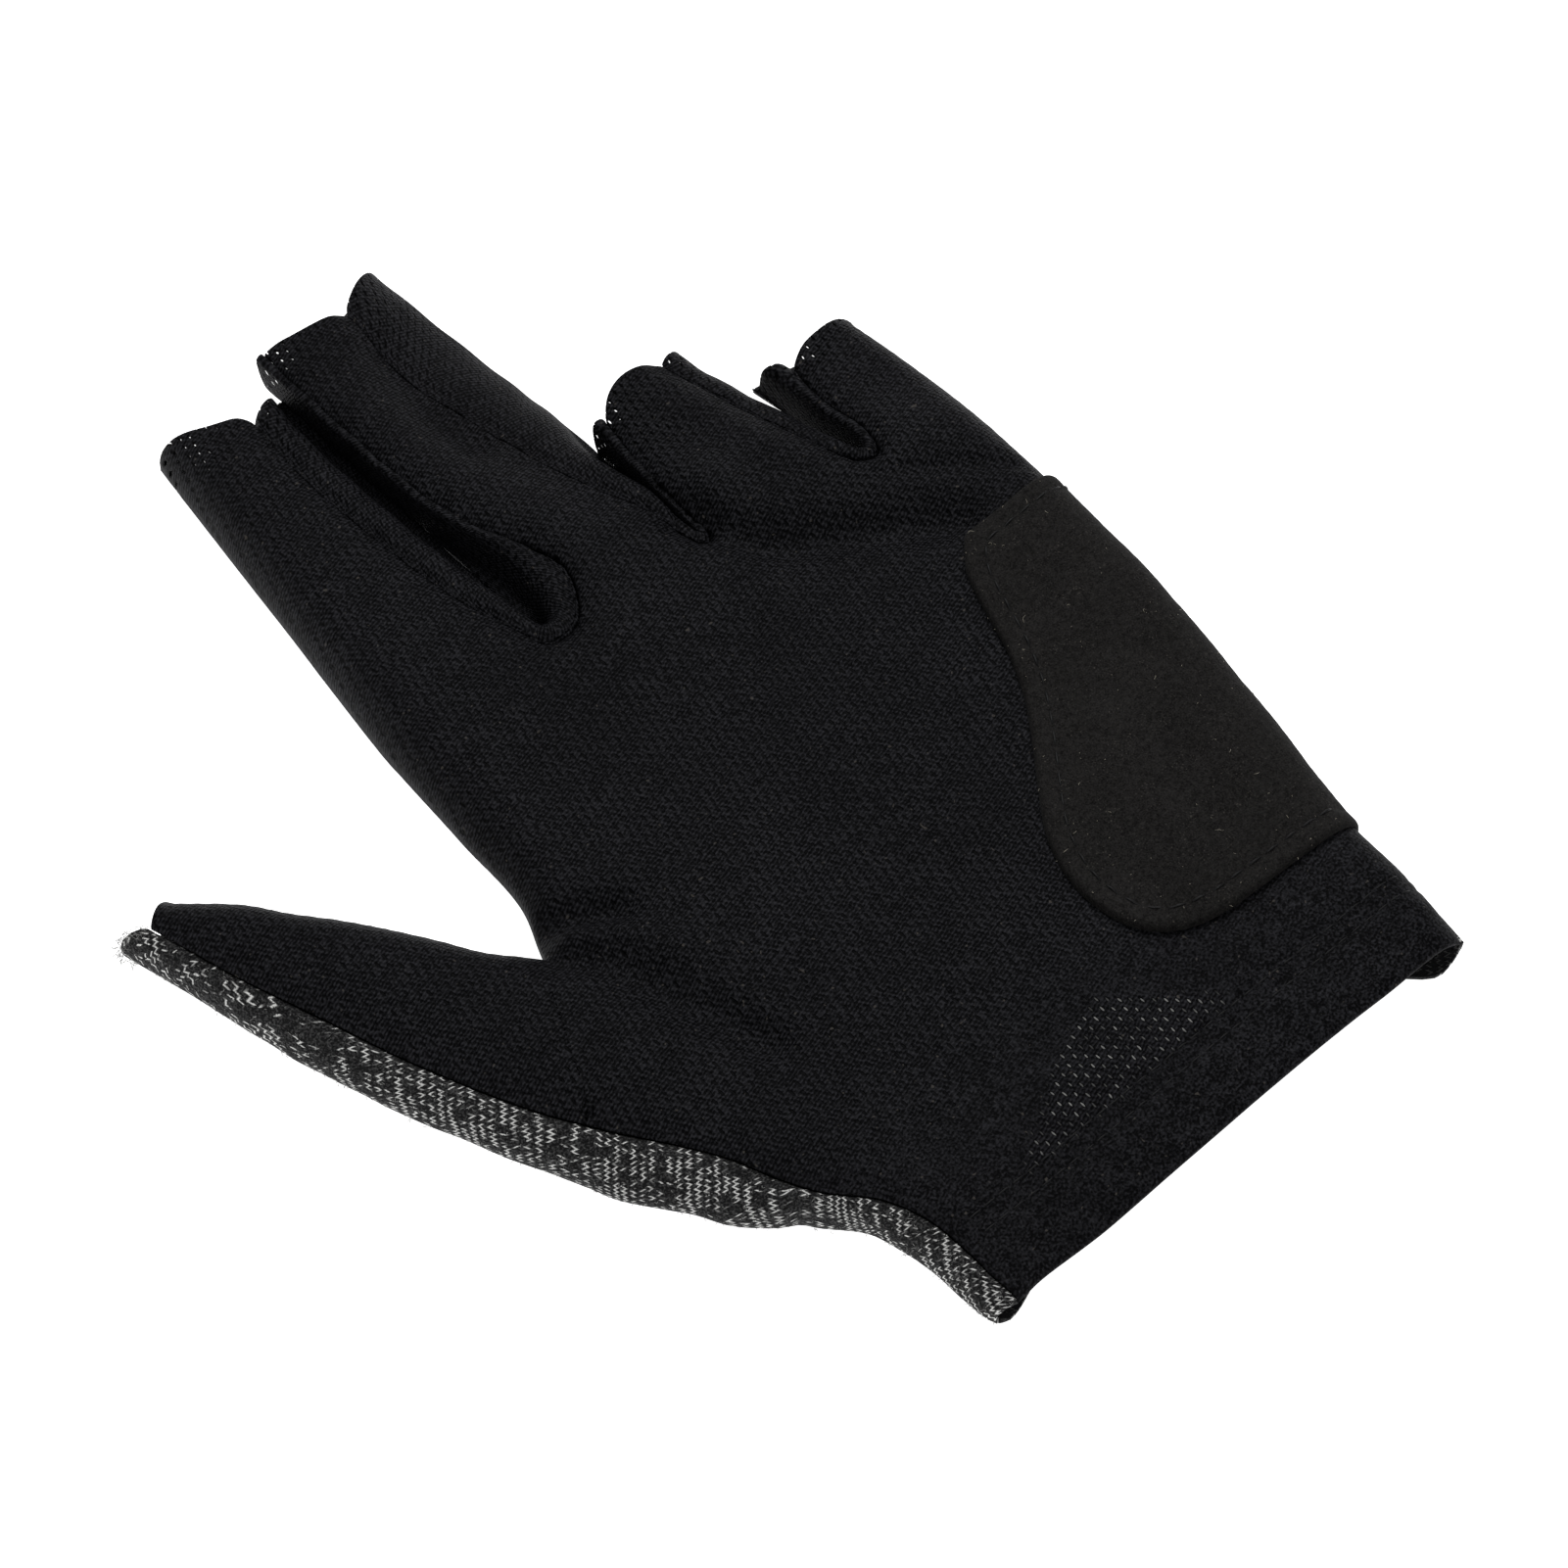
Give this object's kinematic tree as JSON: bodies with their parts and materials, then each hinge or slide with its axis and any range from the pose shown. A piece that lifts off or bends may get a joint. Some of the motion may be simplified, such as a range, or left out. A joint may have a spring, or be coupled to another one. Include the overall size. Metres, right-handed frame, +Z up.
{
  "type": "billiard glove",
  "caption": "Left-hand billiard glove lying palm up, with open finger ends, a mesh palm, a knitted back, side strips between the fingers and a soft heel pad.",
  "frame": {"origin": "a point on the flat underside of the back panel, on the floor, 12.5 mm in from the cuff edge and on the hand's long axis", "axes": "+X toward the little finger's side, +Y from the cuff to the fingertips, +Z up out of the palm"},
  "size_m": [0.137, 0.1752, 0.0098],
  "materials": {
    "black mesh cloth": "matte warp-knit mesh",
    "black mesh side strips": "matte warp-knit mesh",
    "grey heather jersey": "matte melange jersey",
    "dark suede": "matte brushed microfibre"
  },
  "bodies": {
    "root": {"palm_panel": "black mesh cloth", "back_panel": "grey heather jersey", "fourchette_index_middle": "black mesh side strips", "fourchette_middle_ring": "black mesh side strips", "fourchette_ring_little": "black mesh side strips", "heel_pad": "dark suede"}
  },
  "joints": []
}
